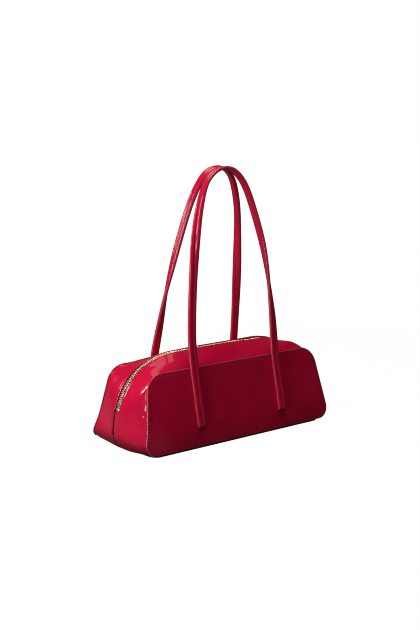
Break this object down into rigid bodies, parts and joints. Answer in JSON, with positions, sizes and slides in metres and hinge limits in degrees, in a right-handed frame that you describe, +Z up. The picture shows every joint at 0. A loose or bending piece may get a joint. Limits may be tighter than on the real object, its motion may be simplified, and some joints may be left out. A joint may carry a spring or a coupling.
{
  "type": "top handle bag",
  "caption": "East-west leather shoulder bag with a trapezoid body, a zip along its ridge and two long slim twisted straps.",
  "frame": {"origin": "middle of the sole on the surface that the bag stands on", "axes": "+Z up, +X along the length towards the closed end of the zip, -Y towards the front panel"},
  "size_m": [0.3209, 0.1298, 0.3534],
  "materials": {
    "glazed_leather": "smooth glazed crimson",
    "sole_leather": "dark burgundy, satin edge",
    "board": "bare stiffening board",
    "reinforcement": "bonded reinforcement cloth",
    "lining_cloth": "fine matt twill",
    "zip_cloth": "woven tape",
    "gilt_metal": "polished pale gold"
  },
  "bodies": {
    "bag": {"front_panel": "glazed_leather", "back_panel": "glazed_leather", "front_gusset": "glazed_leather", "back_gusset": "glazed_leather", "front_left_tab": "glazed_leather", "front_right_tab": "glazed_leather", "back_left_tab": "glazed_leather", "back_right_tab": "glazed_leather", "base_panel": "sole_leather", "base_board": "board", "front_stiffener": "board", "back_stiffener": "board", "front_left_anchor": "reinforcement", "front_right_anchor": "reinforcement", "back_left_anchor": "reinforcement", "back_right_anchor": "reinforcement", "front_lining": "lining_cloth", "back_lining": "lining_cloth", "slip_pocket": "lining_cloth", "zip_tape_front": "zip_cloth", "zip_tape_back": "zip_cloth", "zip_teeth_front": "gilt_metal", "zip_teeth_back": "gilt_metal", "zip_bottom_stop": "gilt_metal", "zip_top_stop_front": "gilt_metal", "zip_top_stop_back": "gilt_metal"},
    "front_strap_loop": {"front_strap": "glazed_leather"},
    "back_strap_loop": {"back_strap": "glazed_leather"},
    "zip_slider": {"slider_body": "gilt_metal", "slider_bail": "gilt_metal"},
    "zip_pull_tag": {"zip_pull": "gilt_metal"}
  },
  "joints": [
    {"name": "front_strap_swing", "type": "hinge", "parent": "bag", "child": "front_strap_loop", "pos_m": [0, -0.04709, 0.10301], "axis": [1, 0, 0], "range_deg": [0, 120]},
    {"name": "back_strap_swing", "type": "hinge", "parent": "bag", "child": "back_strap_loop", "pos_m": [0, 0.04709, 0.10301], "axis": [-1, 0, 0], "range_deg": [0, 120]},
    {"name": "zip_travel", "type": "hinge", "parent": "bag", "child": "zip_slider", "pos_m": [0.0696, 0, 0.0262], "axis": [0, -1, 0], "range_deg": [0, 66], "deforming": ["zip_teeth_front", "zip_teeth_back"]},
    {"name": "pull_swing", "type": "hinge", "parent": "zip_slider", "child": "zip_pull_tag", "pos_m": [0.15482, 0, 0.05682], "axis": [0, -1, 0], "range_deg": [0, 180]}
  ]
}
